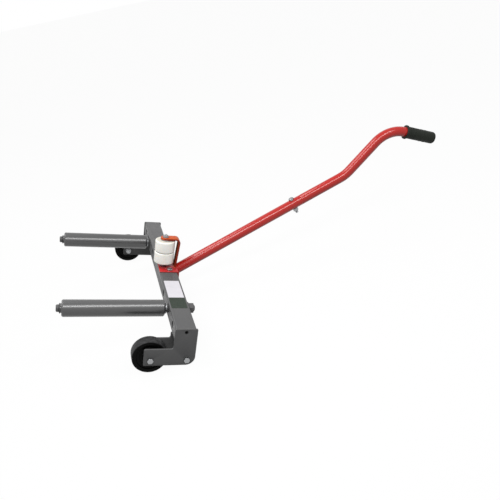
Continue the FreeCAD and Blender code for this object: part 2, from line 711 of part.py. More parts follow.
def draw_handle_path(sketch):
    """Draw the upper handle's centre line: three straight runs and two bends, from the joint.

    The second bend takes up the part of the last run that the grip leaves free.
    """
    first_turn = math.radians(measure("first_bend_angle"))
    second_turn = math.radians(measure("second_bend_angle"))
    first_setback = "bend_radius * tan(first_bend_angle / 2)"
    second_setback = "(grip_run - grip_length)"
    radii = ["bend_radius", f"{second_setback} / tan(second_bend_angle / 2)"]
    runs = [
        f"upper_straight - {first_setback}",
        f"middle_run - {first_setback} - {second_setback}",
        "grip_length - grip_end_wall",
    ]
    headings = [0.0, first_turn, first_turn - second_turn]
    start = FreeCAD.Vector()
    lines = []
    arcs = []
    for index, (run, heading) in enumerate(zip(runs, headings)):
        ahead = FreeCAD.Vector(math.cos(heading), math.sin(heading), 0)
        end = start + ahead * measure(run)
        lines.append(sketch.addGeometry(Part.LineSegment(start, end)))
        if index == len(runs) - 1:
            break
        turn = headings[index + 1] - heading
        radius = measure(radii[index])
        inward = math.copysign(1.0, turn)
        centre = end + FreeCAD.Vector(-ahead.y, ahead.x, 0) * radius * inward
        angles = sorted((heading - inward * math.pi / 2, heading - inward * math.pi / 2 + turn))
        arcs.append(sketch.addGeometry(Part.ArcOfCircle(Part.Circle(centre, Z_AXIS, radius), *angles)))
        heading += turn
        start = centre + FreeCAD.Vector(math.sin(heading), -math.cos(heading), 0) * radius * inward
    sketch.addConstraint(Sketcher.Constraint("Coincident", lines[0], 1, -1, 1))
    sketch.addConstraint(Sketcher.Constraint("Horizontal", lines[0]))
    for index, (arc, radius) in enumerate(zip(arcs, radii)):
        enters, leaves = (1, 2) if headings[index + 1] > headings[index] else (2, 1)
        sketch.addConstraint(Sketcher.Constraint("Tangent", lines[index], 2, arc, enters))
        sketch.addConstraint(Sketcher.Constraint("Tangent", arc, leaves, lines[index + 1], 1))
        number = sketch.addConstraint(Sketcher.Constraint("Radius", arc, measure(radius)))
        bind(sketch, f"Constraints[{number}]", radius)
    for line, run in zip(lines, runs):
        number = sketch.addConstraint(Sketcher.Constraint("Distance", line, measure(run)))
        bind(sketch, f"Constraints[{number}]", run)
    turns = (("first_bend_angle", lines[1], headings[1]),
             ("first_bend_angle - second_bend_angle", lines[2], headings[2]))
    for formula, line, heading in turns:
        number = sketch.addConstraint(Sketcher.Constraint("Angle", line, heading))
        bind(sketch, f"Constraints[{number}]", formula)


def make_handle():
    """Lower tube coped over the base's edge, bent upper tube spigoted into it, joint bolt and grip."""
    slope = FreeCAD.Rotation(Y_AXIS, -measure("handle_angle"))
    root = spot(BASE_OUTER, "0", f"{BAR_TOP} - handle_root_drop", slope)
    inside = "tube_dia / 2 - tube_wall"
    overlap = "2 * tube_dia"
    lower = turned("lower_handle_tube", [
        (f"-({overlap})", inside),
        ("lower_handle_length", inside),
        ("lower_handle_length", "tube_dia / 2"),
        (f"-({overlap})", "tube_dia / 2"),
    ])
    edge = "(handle_root_drop + base_thickness)"
    top = f"({edge} + {overlap})"
    cope = [
        ("0", f"(-{overlap})"),
        ("0", edge),
        ("(-strap_foot_inset)", edge),
        (f"({overlap} * tan(strap_lean) - strap_foot_inset)", top),
        (f"(-3 * {overlap})", top),
        (f"(-3 * {overlap})", f"(-{overlap})"),
    ]
    cut_through(lower, "XZ_Plane", outline=[
        (f"{out} * cos(handle_angle) + {up} * sin(handle_angle)",
         f"{up} * cos(handle_angle) - {out} * sin(handle_angle)") for out, up in cope
    ])
    bolt_along = "lower_handle_length - joint_bolt_inset"
    bolt_hole = "joint_bolt_dia + 2 * hole_gap"
    cut_through(lower, "XY_Plane", [(bolt_along, "0", bolt_hole)])
    keep("lower_handle_tube", lower, root)

    seam = root.multiply(spot("lower_handle_length"))
    spigot = f"{inside} - running_gap"
    throat = f"{spigot} - tube_wall"
    upper = turned("upper_handle_tube", [
        ("-spigot_length", throat),
        ("tube_wall", throat),
        ("3 * tube_wall", inside),
        ("3 * tube_wall", "tube_dia / 2"),
        ("0", "tube_dia / 2"),
        ("0", spigot),
        ("-spigot_length", spigot),
    ])
    path = new_sketch(upper, "XZ_Plane")
    draw_handle_path(path)
    section = new_sketch(upper, "YZ_Plane")
    draw_circle(section, "0", "0", "tube_dia")
    draw_circle(section, "0", "0", f"2 * ({inside})")
    doc.recompute()
    pipe = upper.newObject("PartDesign::AdditivePipe", "Pipe")
    pipe.Profile = section
    pipe.Spine = (path, [f"Edge{number}" for number in range(1, len(path.Shape.Edges) + 1)])
    cut_through(upper, "XY_Plane", [("-joint_bolt_inset", "0", bolt_hole)])
    keep("upper_handle_tube", upper, seam)

    joint = seam.multiply(spot("-joint_bolt_inset"))
    length = "tube_dia + joint_nut_height + joint_bolt_overhang"
    keep("handle_joint_bolt",
         bolt("handle_joint_bolt", "joint_bolt_flats", "joint_bolt_head", "joint_bolt_dia", length,
              FreeCAD.Placement()),
         joint.multiply(spot(z="tube_dia / 2")))
    keep("handle_joint_nut",
         nut("handle_joint_nut", "joint_bolt_flats", "joint_nut_height", "joint_bolt_dia",
             FreeCAD.Placement()),
         joint.multiply(spot(z="-tube_dia / 2", turn=FreeCAD.Rotation(X_AXIS, 180))))
    make_grip(seam)


def make_grip(seam):
    """Grip with a flange, pushed over the end of the upper tube."""
    bore = "tube_dia / 2 + seat_gap"
    bottom = "grip_length - grip_end_wall"
    grip = turned("grip", [
        ("0", bore),
        ("0", "grip_flange_dia / 2"),
        ("grip_flange_width", "grip_flange_dia / 2"),
        ("grip_flange_width", "grip_dia / 2"),
        ("grip_length", "grip_dia / 2"),
        ("grip_length", "0"),
        (bottom, "0"),
        (bottom, bore),
    ])
    round_edges(grip, "grip_end_round", round_at("grip_dia / 2", ("grip_length",)))
    bend = FreeCAD.Rotation(Y_AXIS, -measure("first_bend_angle"))
    unbend = FreeCAD.Rotation(Y_AXIS, measure("second_bend_angle"))
    first_corner = seam.multiply(spot("upper_straight", turn=bend))
    second_corner = first_corner.multiply(spot("middle_run", turn=unbend))
    keep("grip", grip, second_corner.multiply(spot("grip_run - grip_length")))


def rest_on_floor():
    """Give the placement that stands the level jack on its wheels and heels.

    The jack tips back about its axle until the rounded heels meet the floor. The origin is then
    put on the floor, in the middle of the jack's length.
    """
    reach = measure(f"{HEEL_X} - ({AXLE_X})")
    rise = measure(f"{HEEL_Z} - ({AXLE_Z})")
    drop = measure("wheel_dia / 2 - heel_radius")
    tilt = math.atan2(rise, reach) + math.asin(drop / math.hypot(reach, rise))
    tipped = FreeCAD.Placement(FreeCAD.Vector(), FreeCAD.Rotation(Y_AXIS, math.degrees(tilt)))
    ends = []
    for label in ("left_arm_shaft", "grip"):
        item, place = pieces[label]
        shape = item.Shape.copy()
        shape.Placement = tipped.multiply(place)
        ends.append(shape.optimalBoundingBox())
    axle = tipped.multVec(FreeCAD.Vector(measure(AXLE_X), 0, measure(AXLE_Z)))
    middle = (ends[0].XMin + ends[1].XMax) / 2
    floor = axle.z - measure("wheel_dia / 2")
    return FreeCAD.Placement(FreeCAD.Vector(-middle, 0, -floor), FreeCAD.Rotation()).multiply(tipped)


make_crossbar()
make_forks()
for side_name, side_sign in SIDES.items():
    make_wheel(side_name, side_sign)
make_arms()
make_bracket()
make_side_rollers()
make_handle()
doc.recompute()

for item in doc.Objects:
    if "Invalid" in item.State or "Error" in item.State:
        raise RuntimeError(f"{item.Label} failed: {item.State}")

rest = rest_on_floor()
os.makedirs("parts", exist_ok=True)
for label, (item, place) in pieces.items():
    item.Placement = rest.multiply(place)
    if item.Shape.isNull() or not item.Shape.isValid():
        raise RuntimeError(f"{label} has no valid shape")
for label, (item, place) in pieces.items():
    item.Shape.exportStep(f"parts/{label}.step")
print(f"{len(pieces)} pieces; rest placement {rest}")
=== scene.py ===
"""Looks of the vehicle positioning jack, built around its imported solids.

The jack stands tipped back on its wheels and heels. Places on it are written in its own level
frame, in which the crossbar lies flat: X from the roller arms to the handle, Y along the crossbar,
Z up, in millimetres from the crossbar's middle. LevelFrame turns them into the part's frame.
"""

import json
import logging
import math
from dataclasses import dataclass
from enum import Enum
from functools import cache, partial
from typing import Any, Callable, Sequence

import bmesh
import bpy
from bmesh.types import BMesh, BMVert
from bpy.types import Material, Node, NodeSocket, NodeTree, Object
from mathutils import Color, Matrix, Vector

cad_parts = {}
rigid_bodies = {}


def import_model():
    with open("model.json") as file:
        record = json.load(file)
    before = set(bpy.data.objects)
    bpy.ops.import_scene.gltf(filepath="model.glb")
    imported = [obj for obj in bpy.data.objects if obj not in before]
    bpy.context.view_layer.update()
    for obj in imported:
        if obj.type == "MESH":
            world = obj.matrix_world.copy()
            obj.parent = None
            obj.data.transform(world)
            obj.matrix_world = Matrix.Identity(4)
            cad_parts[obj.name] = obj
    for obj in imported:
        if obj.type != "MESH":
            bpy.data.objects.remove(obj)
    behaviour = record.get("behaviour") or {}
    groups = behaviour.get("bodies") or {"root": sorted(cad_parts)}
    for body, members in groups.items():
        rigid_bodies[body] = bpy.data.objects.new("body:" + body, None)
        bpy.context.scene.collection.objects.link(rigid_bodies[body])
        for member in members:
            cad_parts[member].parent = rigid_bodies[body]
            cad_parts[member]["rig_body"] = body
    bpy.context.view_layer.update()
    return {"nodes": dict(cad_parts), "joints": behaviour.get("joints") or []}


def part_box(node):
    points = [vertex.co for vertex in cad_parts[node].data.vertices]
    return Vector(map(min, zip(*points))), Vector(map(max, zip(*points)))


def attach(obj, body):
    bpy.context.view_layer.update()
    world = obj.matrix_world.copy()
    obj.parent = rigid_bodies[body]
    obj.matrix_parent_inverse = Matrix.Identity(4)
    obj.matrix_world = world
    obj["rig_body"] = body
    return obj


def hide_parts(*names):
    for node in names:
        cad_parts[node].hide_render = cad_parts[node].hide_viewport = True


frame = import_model()

MM = 0.001
ON_AXIS_MM = 1e-6
BASE_TOP_MM = 25.5
LOG = logging.getLogger("positioning_jack")
# Sockets of Blender's Mix node in its colour mode
MIX_FACTOR, MIX_FIRST, MIX_SECOND, MIX_RESULT = 0, 6, 7, 2

Point = tuple[float, float, float]
Span = tuple[float, float]
Profile = list[Span]
Ring = list[BMVert]


class Side(Enum):
    """The two sides of the jack, by the sign of Y."""

    LEFT = -1
    RIGHT = 1

    @property
    def word(self) -> str:
        """Name used in the names of pieces."""
        return self.name.lower()


class Facing(Enum):
    """Ways that a face or a thread of the jack can face, in its level frame."""

    LEFT = (0.0, -1.0, 0.0)
    RIGHT = (0.0, 1.0, 0.0)
    ARMS = (-1.0, 0.0, 0.0)
    HANDLE = (1.0, 0.0, 0.0)
    UP = (0.0, 0.0, 1.0)
    DOWN = (0.0, 0.0, -1.0)


def to_linear(code: str) -> tuple[float, float, float, float]:
    """Turn an sRGB hex colour such as "#6E6F70" into linear red, green, blue and full alpha."""
    shares = [part / 255 for part in bytes.fromhex(code[1:])]
    return (*Color(shares).from_srgb_to_scene_linear(), 1.0)


def per_metre(size_mm: float) -> float:
    """Give the texture scale that repeats a pattern every so many millimetres."""
    return 1.0 / (size_mm * MM)


def add_node(
    tree: NodeTree, kind: str, settings: dict[str, Any] | None = None,
    inputs: dict[str | int, Any] | None = None,
) -> Node:
    """Add a node with its settings, input values and links.

    Args:
        tree: Node tree to add to.
        kind: Blender's type name of the node.
        settings: Attributes to set, by name.
        inputs: Values or sockets for the node's inputs, by name or number.

    Returns:
        The new node.
    """
    node = tree.nodes.new(kind)
    for name, value in (settings or {}).items():
        setattr(node, name, value)
    for key, value in (inputs or {}).items():
        if isinstance(value, NodeSocket):
            tree.links.new(value, node.inputs[key])
        else:
            node.inputs[key].default_value = value
    return node


@dataclass(frozen=True)
class LevelFrame:
    """The jack's own level frame, read from the joints and the crossbar."""

    matrix: Matrix

    @classmethod
    def read(cls) -> "LevelFrame":
        """Find the level frame: the arms point along -X, the side rollers' stud along +Z.

        Returns:
            The frame, which takes millimetres to metres.
        """
        axes = {joint["name"]: Vector(joint["axis"]) for joint in frame["joints"]}
        ahead = -axes["left_roller_spin"].normalized()
        up = axes["lower_side_roller_spin"].normalized()
        across = up.cross(ahead)
        low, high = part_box("crossbar")
        turn = Matrix((ahead, across, up)).transposed().to_4x4()
        return cls(Matrix.Translation((low + high) / 2) @ turn @ Matrix.Scale(MM, 4))

    def point(self, x: float, y: float, z: float) -> Vector:
        """Place a point given in millimetres."""
        return self.matrix @ Vector((x, y, z))

    def heading(self, direction: Sequence[float]) -> Vector:
        """Turn a direction into the part's frame."""
        return self.matrix.to_quaternion() @ Vector(direction)


LEVEL = LevelFrame.read()


@dataclass(frozen=True)
class Canvas:
    """What a finish is drawn with: a node tree, its surface shader and the place on the piece."""

    tree: NodeTree
    shader: Node
    place: NodeSocket


@dataclass(frozen=True)
class Finish:
    """A surface finish: its name, colours and gloss, and the sizes of its clouds and its grain."""

    name: str
    slot: str
    colour: str
    second: str
    gloss_low: float
    gloss_high: float
    cloud_mm: float = 25.0
    cloud_detail: float = 4.0
    gloss_mm: float = 7.0
    gloss_detail: float = 3.0
    gloss_noise: Span = (0.3, 0.7)
    grain_mm: float = 1.5
    grain_depth_mm: float = 0.05
    grain_strength: float = 0.4
    grain_detail: float = 3.0
    ior: float = 1.5
    specular: float = 0.5

    @cache
    def material(self) -> Material:
        """Build the material once.

        Returns:
            The finished material.
        """
        material = bpy.data.materials.new(self.name)
        material.use_nodes = True
        tree = material.node_tree
        tree.nodes.clear()
        shader = add_node(tree, "ShaderNodeBsdfPrincipled", inputs=self.constants())
        add_node(tree, "ShaderNodeOutputMaterial", inputs={"Surface": shader.outputs["BSDF"]})
        place = add_node(tree, "ShaderNodeTexCoord").outputs["Object"]
        self.draw(Canvas(tree, shader, place))
        return material

    def constants(self) -> dict[str, Any]:
        """Give the shader's values that are the same all over the surface."""
        return {"IOR": self.ior, "Specular IOR Level": self.specular}

    def draw(self, canvas: Canvas) -> None:
        """Draw the clouds and the grain."""
        self.mottle(canvas)
        self.relief(canvas)

    def mottle(self, canvas: Canvas) -> NodeSocket:
        """Vary the colour in soft clouds, and the gloss in clouds of its own.

        Args:
            canvas: What to draw with.

        Returns:
            The colour, already linked to the shader.
        """
        tree, sockets = canvas.tree, canvas.shader.inputs
        clouds = add_node(tree, "ShaderNodeTexNoise", inputs={
            "Vector": canvas.place, "Scale": per_metre(self.cloud_mm), "Detail": self.cloud_detail})
        colour = add_node(tree, "ShaderNodeMix", {"data_type": "RGBA"}, {
            MIX_FACTOR: clouds.outputs["Fac"], MIX_FIRST: to_linear(self.colour),
            MIX_SECOND: to_linear(self.second)}).outputs[MIX_RESULT]
        tree.links.new(colour, sockets["Base Color"])
        patches = add_node(tree, "ShaderNodeTexNoise", inputs={
            "Vector": canvas.place, "Scale": per_metre(self.gloss_mm), "Detail": self.gloss_detail})
        gloss = add_node(tree, "ShaderNodeMapRange", inputs={
            "Value": patches.outputs["Fac"],
            "From Min": self.gloss_noise[0], "From Max": self.gloss_noise[1],
            "To Min": self.gloss_low, "To Max": self.gloss_high,
        })
        tree.links.new(gloss.outputs["Result"], sockets["Roughness"])
        return colour

    def relief(self, canvas: Canvas) -> NodeSocket:
        """Raise the surface in a fine grain.

        Args:
            canvas: What to draw with.

        Returns:
            The grained surface's normal, already linked to the shader.
        """
        grain = add_node(canvas.tree, "ShaderNodeTexNoise", inputs={
            "Vector": canvas.place, "Scale": per_metre(self.grain_mm), "Detail": self.grain_detail})
        normal = add_node(canvas.tree, "ShaderNodeBump", inputs={
            "Strength": self.grain_strength, "Distance": self.grain_depth_mm * MM,
            "Height": grain.outputs["Fac"],
        }).outputs["Normal"]
        canvas.tree.links.new(normal, canvas.shader.inputs["Normal"])
        return normal


@dataclass(frozen=True)
class PowderCoat(Finish):
    """Baked polyester powder on steel: even colour, a soft skin of gloss and orange peel."""

    cloud_mm: float = 70.0
    gloss_mm: float = 9.0
    # Real orange peel is about half this coarse; it is drawn larger so that it still shows
    grain_mm: float = 2.4
    grain_strength: float = 0.35
    grain_detail: float = 1.0
    edge_mm: float = 1.4
    edge_samples: int = 4
    edge_agreement: Span = (0.97, 0.78)
    # Lighter colour on sharp edges: partly thin worn paint, partly a painted highlight
    edge_colour: str = "#8A8A8A"
    edge_share: float = 0.25

    def draw(self, canvas: Canvas) -> None:
        """Draw the clouds, a lighter colour on the edges (partly thin worn paint, partly a painted
        highlight where edges catch the light) and the orange peel.

        Args:
            canvas: What to draw with.
        """
        tree = canvas.tree
        colour = self.mottle(canvas)
        rounded = add_node(tree, "ShaderNodeBevel", {"samples": self.edge_samples},
                           {"Radius": self.edge_mm * MM})
        true_normal = add_node(tree, "ShaderNodeNewGeometry").outputs["Normal"]
        agreement = add_node(tree, "ShaderNodeVectorMath", {"operation": "DOT_PRODUCT"},
                             {0: rounded.outputs["Normal"], 1: true_normal})
        edge = add_node(tree, "ShaderNodeMapRange", inputs={
            "Value": agreement.outputs["Value"],
            "From Min": self.edge_agreement[0], "From Max": self.edge_agreement[1],
            "To Max": self.edge_share})
        # Mix in the lighter edge colour: partly worn paint, partly a painted highlight on the edges
        worn_and_lit_edges = add_node(tree, "ShaderNodeMix", {"data_type": "RGBA"}, {
            MIX_FACTOR: edge.outputs["Result"], MIX_FIRST: colour,
            MIX_SECOND: to_linear(self.edge_colour)})
        tree.links.new(worn_and_lit_edges.outputs[MIX_RESULT], canvas.shader.inputs["Base Color"])
        self.relief(canvas)


@dataclass(frozen=True)
class PlatedSteel(Finish):
    """Plated or blackened fastener steel: a bright but slightly cloudy metal with rolled grain."""

    cloud_mm: float = 6.0
    gloss_mm: float = 3.0
    grain_mm: float = 1.6
    grain_depth_mm: float = 0.03
    grain_strength: float = 0.25
    grain_detail: float = 6.0
    metallic: float = 1.0

    def constants(self) -> dict[str, Any]:
        """Make it a metal, which keeps the default index."""
        return {"Metallic": self.metallic}


@dataclass(frozen=True)
class MouldedRubber(Finish):
    """Compression-moulded hard rubber: black, half glossy from the mould, grey on the tread from
    dust and painted sheen.
    """

    cloud_mm: float = 14.0
    gloss_mm: float = 6.0
    grain_mm: float = 1.2
    grain_depth_mm: float = 0.06
    grain_strength: float = 0.25
    ior: float = 1.52
    specular: float = 0.06
    axle: Point = (0.0, 0.0, 0.0)
    off_axle: Point = (1.0, 0.0, 1.0)
    tread_mm: float = 48.0
    # Grey on the tread: partly dust, partly painted sheen
    dust: str = "#4C4C4D"
    dust_share: float = 0.8
    dust_from_tread_mm: Span = (-0.6, 1.2)
    scuff_mm: float = 9.0
    scuff_detail: float = 7.0

    def draw(self, canvas: Canvas) -> None:
        """Draw grey on the tread, partly dust and partly painted sheen, and the mould's grain.

        Args:
            canvas: What to draw with.
        """
        tree = canvas.tree
        colour = self.mottle(canvas)
        across = add_node(tree, "ShaderNodeVectorMath", {"operation": "MULTIPLY"},
                          {0: canvas.place, 1: self.off_axle})
        radius = add_node(tree, "ShaderNodeVectorMath", {"operation": "DISTANCE"},
                          {0: across.outputs["Vector"], 1: self.axle})
        start, full = ((self.tread_mm + step) * MM for step in self.dust_from_tread_mm)
        on_tread = add_node(tree, "ShaderNodeMapRange", inputs={
            "Value": radius.outputs["Value"],
            "From Min": start, "From Max": full, "To Max": self.dust_share})
        scuffs = add_node(tree, "ShaderNodeTexNoise", inputs={
            "Vector": canvas.place, "Scale": per_metre(self.scuff_mm), "Detail": self.scuff_detail})
        share = add_node(tree, "ShaderNodeMath", {"operation": "MULTIPLY"},
                         {0: on_tread.outputs["Result"], 1: scuffs.outputs["Fac"]})
        # Grey over the tread: partly dust, partly painted sheen
        dusty_and_sheened = add_node(tree, "ShaderNodeMix", {"data_type": "RGBA"}, {
            MIX_FACTOR: share.outputs["Value"], MIX_FIRST: colour,
            MIX_SECOND: to_linear(self.dust)})
        tree.links.new(dusty_and_sheened.outputs[MIX_RESULT], canvas.shader.inputs["Base Color"])
        self.relief(canvas)


@dataclass(frozen=True)
class Polymer(Finish):
    """Nylon, vinyl or soft rubber: a dielectric skin with its own grain."""

    ior: float = 1.53
    glow: float = 0.0
    glow_radius: Point = (1.0, 0.8, 0.6)
    glow_depth_mm: float = 2.0
    tool_mm: float = 0.0
    tool_strength: float = 0.5
    tool_slope: float = 0.1

    def constants(self) -> dict[str, Any]:
        """Give the polymer's index, and how far light enters it.

        Returns:
            The values, by input of the shader.
        """
        return super().constants() | {
            "Subsurface Weight": self.glow, "Subsurface Radius": self.glow_radius,
            "Subsurface Scale": self.glow_depth_mm * MM}

    def draw(self, canvas: Canvas) -> None:
        """Draw the clouds, the grain and, on a turned piece, the lathe tool's rings.

        Args:
            canvas: What to draw with.
        """
        self.mottle(canvas)
        grained = self.relief(canvas)
        if not self.tool_mm:
            return
        tree = canvas.tree
        height = add_node(tree, "ShaderNodeVectorMath", {"operation": "DOT_PRODUCT"},
                          {0: canvas.place, 1: LEVEL.heading(Facing.UP.value)})
        # The tool really advances about 0.3 mm a turn; its rings are drawn coarser, to show
        rings = add_node(tree, "ShaderNodeMath", {"operation": "PINGPONG"},
                         {0: height.outputs["Value"], 1: self.tool_mm * MM / 2})
        turned = add_node(tree, "ShaderNodeBump", inputs={
            "Strength": self.tool_strength, "Distance": self.tool_slope,
            "Height": rings.outputs["Value"], "Normal": grained})
        tree.links.new(turned.outputs["Normal"], canvas.shader.inputs["Normal"])


# Grey polyester powder coat, baked: a dark mid grey with a satin skin
GREY_COAT = PowderCoat(
    "grey_powder_coat", "grey_paint", "#4E4E4F", "#545454", 0.38, 0.48,
    edge_colour="#777777", edge_share=0.35, specular=0.25)
# Grey coat on the drawn roller tubes: the same paint on a truer surface, so a tighter highlight;
# its base colour is darker than the grey coat's, which is painted shade on the tubes
ROLLER_COAT_PAINTED_SHADE = PowderCoat(
    "grey_powder_coat_on_tube", "grey_paint", "#404041", "#454545", 0.27, 0.29,
    grain_mm=6.0, grain_depth_mm=0.004, gloss_mm=60.0, edge_colour="#707070", edge_share=0.35,
    specular=0.8)
# Grey coat over a weld: the same paint, thinner and glossier on the ripples
WELD_COAT = PowderCoat(
    "grey_powder_coat_on_weld", "grey_paint", "#3F3F40", "#474748", 0.3, 0.4,
    grain_depth_mm=0.03, edge_colour="#5A5A5A", edge_share=0.35, specular=0.3)
# Red polyester powder coat, baked: a deep glossy red with a pale highlight
RED_COAT = PowderCoat(
    "red_gloss_powder_coat", "red_paint", "#A51A14", "#AD221B", 0.18, 0.21, grain_mm=5.0,
    grain_depth_mm=0.001, gloss_mm=50.0, edge_colour="#C8543F", specular=0.4)
# The same red coat in a lighter copy on the flat base: painted light on the base
RED_PAINTED_LIGHT_BASE_COAT = PowderCoat(
    "red_powder_coat_on_plate", "red_paint", "#AE2426", "#B62C2D", 0.28, 0.33, grain_mm=5.0,
    grain_depth_mm=0.005, gloss_mm=30.0, edge_colour="#C8543F", specular=0.4)
# The same red coat darkened to maroon: painted shade on the bracket's faces that look along the
# crossbar
RED_PAINTED_SHADE_COAT = PowderCoat(
    "red_powder_coat_on_sheared_edge", "red_paint", "#7A2420", "#86291F", 0.3, 0.38,
    edge_colour="#94402F", specular=0.2)
# The same coat, baked a little longer on the thick strap: redder towards orange
STRAP_COAT = PowderCoat(
    "orange_red_powder_coat", "red_paint", "#B9501C", "#B0461A", 0.34, 0.42,
    edge_colour="#C4662E", specular=0.15)
# Painted shade on the strap's inner face, close behind the side rollers: a dull dark brown
RED_PAINTED_SHADE_INNER_COAT = PowderCoat(
    "red_powder_coat_dry_overspray", "red_paint", "#6A3420", "#74391F", 0.75, 0.85,
    edge_colour="#7E4428", specular=0.04)
# Bright zinc plate on rolled fasteners: a pale, faintly cloudy metal
ZINC = PlatedSteel("bright_zinc_plate", "zinc_plate", "#A2A3A4", "#909294", 0.30, 0.44)
# Phosphated spring steel: nearly black, oily metal
PHOSPHATE = PlatedSteel("phosphated_spring_steel", "dark_steel", "#3A3A3B", "#2F2F30", 0.38, 0.5)
# Near-black dull steel on the drain hole's wall and rim: painted shade in the hole
DRAIN_PAINTED_SHADE = PlatedSteel(
    "hot_rolled_steel_scale", "dark_steel", "#101011", "#161617", 0.7, 0.8, metallic=0.2)
# Sintered bronze, oiled: a dull yellow brown metal
BRONZE = PlatedSteel("sintered_bronze", "bronze", "#A97C45", "#946A38", 0.4, 0.55)
# Cast nylon, turned: ivory white, slightly waxy, light enters it a little
NYLON = Polymer(
    "turned_cast_nylon", "white_nylon", "#F8F6F0", "#F1EFE8", 0.36, 0.48,
    specular=0.3, glow=0.12, tool_mm=1.6)
# The same nylon on the rollers' flat ends, rougher and greyer: the grey is painted shade under the
# strap
NYLON_PAINTED_SHADE_ENDS = Polymer(
    "sawn_cast_nylon", "white_nylon", "#CFCDC3", "#C6C4B9", 0.55, 0.65,
    grain_mm=2.2, grain_depth_mm=0.12, specular=0.15)
# Plain vinyl film, calendered: a smooth white skin, faintly grey
PALE_FILM = Polymer(
    "calendered_vinyl_film_white", "white_nylon", "#CBC9CE", "#C1BFC4", 0.4, 0.5,
    grain_mm=2.0, grain_depth_mm=0.02, specular=0.2)
# Plain vinyl film, calendered: a dark bottle green
DARK_FILM = Polymer(
    "calendered_vinyl_film_green", "grip_rubber", "#1F2A21", "#263027", 0.4, 0.5,
    grain_mm=2.0, grain_depth_mm=0.02, specular=0.2)
# Soft vinyl grip, dip moulded: near black with a greenish cast and a matt skin
GRIP_VINYL = Polymer(
    "dip_moulded_vinyl", "grip_rubber", "#191C18", "#20241E", 0.5, 0.62, specular=0.15)


def new_piece(
    name: str, work: BMesh, finish: Finish, body: str, sharp_deg: float = 35.0
) -> Object:
    """Make a piece, shaded smooth apart from its sharp edges.

    Args:
        name: Name of the piece.
        work: Its shape in the part's frame, in metres; it is freed.
        finish: Its finish.
        body: The body that it moves with.
        sharp_deg: Angle from which an edge counts as sharp.

    Returns:
        The piece.
    """
    mesh = bpy.data.meshes.new(name)
    work.to_mesh(mesh)
    work.free()
    mesh.polygons.foreach_set("use_smooth", [True] * len(mesh.polygons))
    mesh.set_sharp_from_angle(angle=math.radians(sharp_deg))
    mesh.materials.append(finish.material())
    piece = bpy.data.objects.new(name, mesh)
    bpy.context.scene.collection.objects.link(piece)
    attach(piece, body)
    LOG.info("piece %s on %s, %d faces", name, body, len(mesh.polygons))
    return piece


def build_piece(name: str, build: Callable[[BMesh], None], finish: Finish, body: str) -> Object:
    """Make a piece with a function that fills a bmesh.

    Args:
        name: Name of the piece.
        build: Function that adds the geometry.
        finish: Its finish.
        body: The body that it moves with.

    Returns:
        The piece.
    """
    work = bmesh.new()
    build(work)
    bmesh.ops.recalc_face_normals(work, faces=work.faces)
    return new_piece(name, work, finish, body)


def rounded_outline(corners: Sequence[Point], segments: int = 5) -> Profile:
    """Round the corners of a closed outline.

    Args:
        corners: Two coordinates and the size of the rounding at each corner, in millimetres.
        segments: Straight pieces in each rounding.

    Returns:
        The points of the outline, in order.
    """
    outline: Profile = []
    for index, (x, y, rounding) in enumerate(corners):
        here = Vector((x, y))
        if rounding <= 0:
            outline.append((x, y))
            continue
        back = (Vector(corners[index - 1][:2]) - here).normalized()
        on = (Vector(corners[(index + 1) % len(corners)][:2]) - here).normalized()
        setback = rounding / math.tan(back.angle(on) / 2)
        start, end = here + back * setback, here + on * setback
        for step in range(segments + 1):
            share = step / segments
            spot = start * (1 - share) ** 2 + here * 2 * share * (1 - share) + end * share ** 2
            outline.append((spot.x, spot.y))
    return outline


def spokes(ahead: Vector, side: Vector, count: int) -> list[Vector]:
    """Spread unit vectors evenly round an axis.

    Args:
        ahead: Direction of the axis.
        side: The first of the vectors, square to the axis.
        count: How many there are.

    Returns:
        The vectors, in order.
    """
    other = ahead.cross(side)
    turns = (math.tau * step / count for step in range(count))
    return [side * math.cos(turn) + other * math.sin(turn) for turn in turns]


def skin_tube(work: BMesh, rings: list[Ring], closed: bool = False) -> None:
    """Join rings of vertices into a tube.

    Args:
        work: Mesh to add to.
        rings: The rings, in order along the tube; a single vertex makes a point.
        closed: Whether the last ring meets the first; if not, both ends get a face.
    """
    pairs = list(zip(rings, rings[1:]))
    if closed:
        pairs.append((rings[-1], rings[0]))
    for first, second in pairs:
        for step in range(max(len(first), len(second))):
            steps = ((first, step), (first, step + 1), (second, step + 1), (second, step))
            corners = list(dict.fromkeys(ring[spot % len(ring)] for ring, spot in steps))
            if len(corners) > 2:
                work.faces.new(corners)
    if not closed:
        work.faces.new(reversed(rings[0]))
        work.faces.new(rings[-1])


def turn_outline(
    work: BMesh, outline: Profile, start: Vector, ahead: Vector, steps: int = 96
) -> None:
    """Turn a closed outline round an axis, as on a lathe.

    Args:
        work: Mesh to add to.
        outline: Places along the axis and radii, in millimetres.
        start: Where the axis starts, in metres.
        ahead: Direction of the axis.
        steps: Faces round the axis.
    """
    arms = spokes(ahead, ahead.orthogonal().normalized(), steps)
    rings: list[Ring] = []
    for along, radius in outline:
        centre = start + ahead * along * MM
        reach = arms if radius > ON_AXIS_MM else [Vector()]
        rings.append([work.verts.new(centre + arm * radius * MM) for arm in reach])
    skin_tube(work, rings, closed=True)


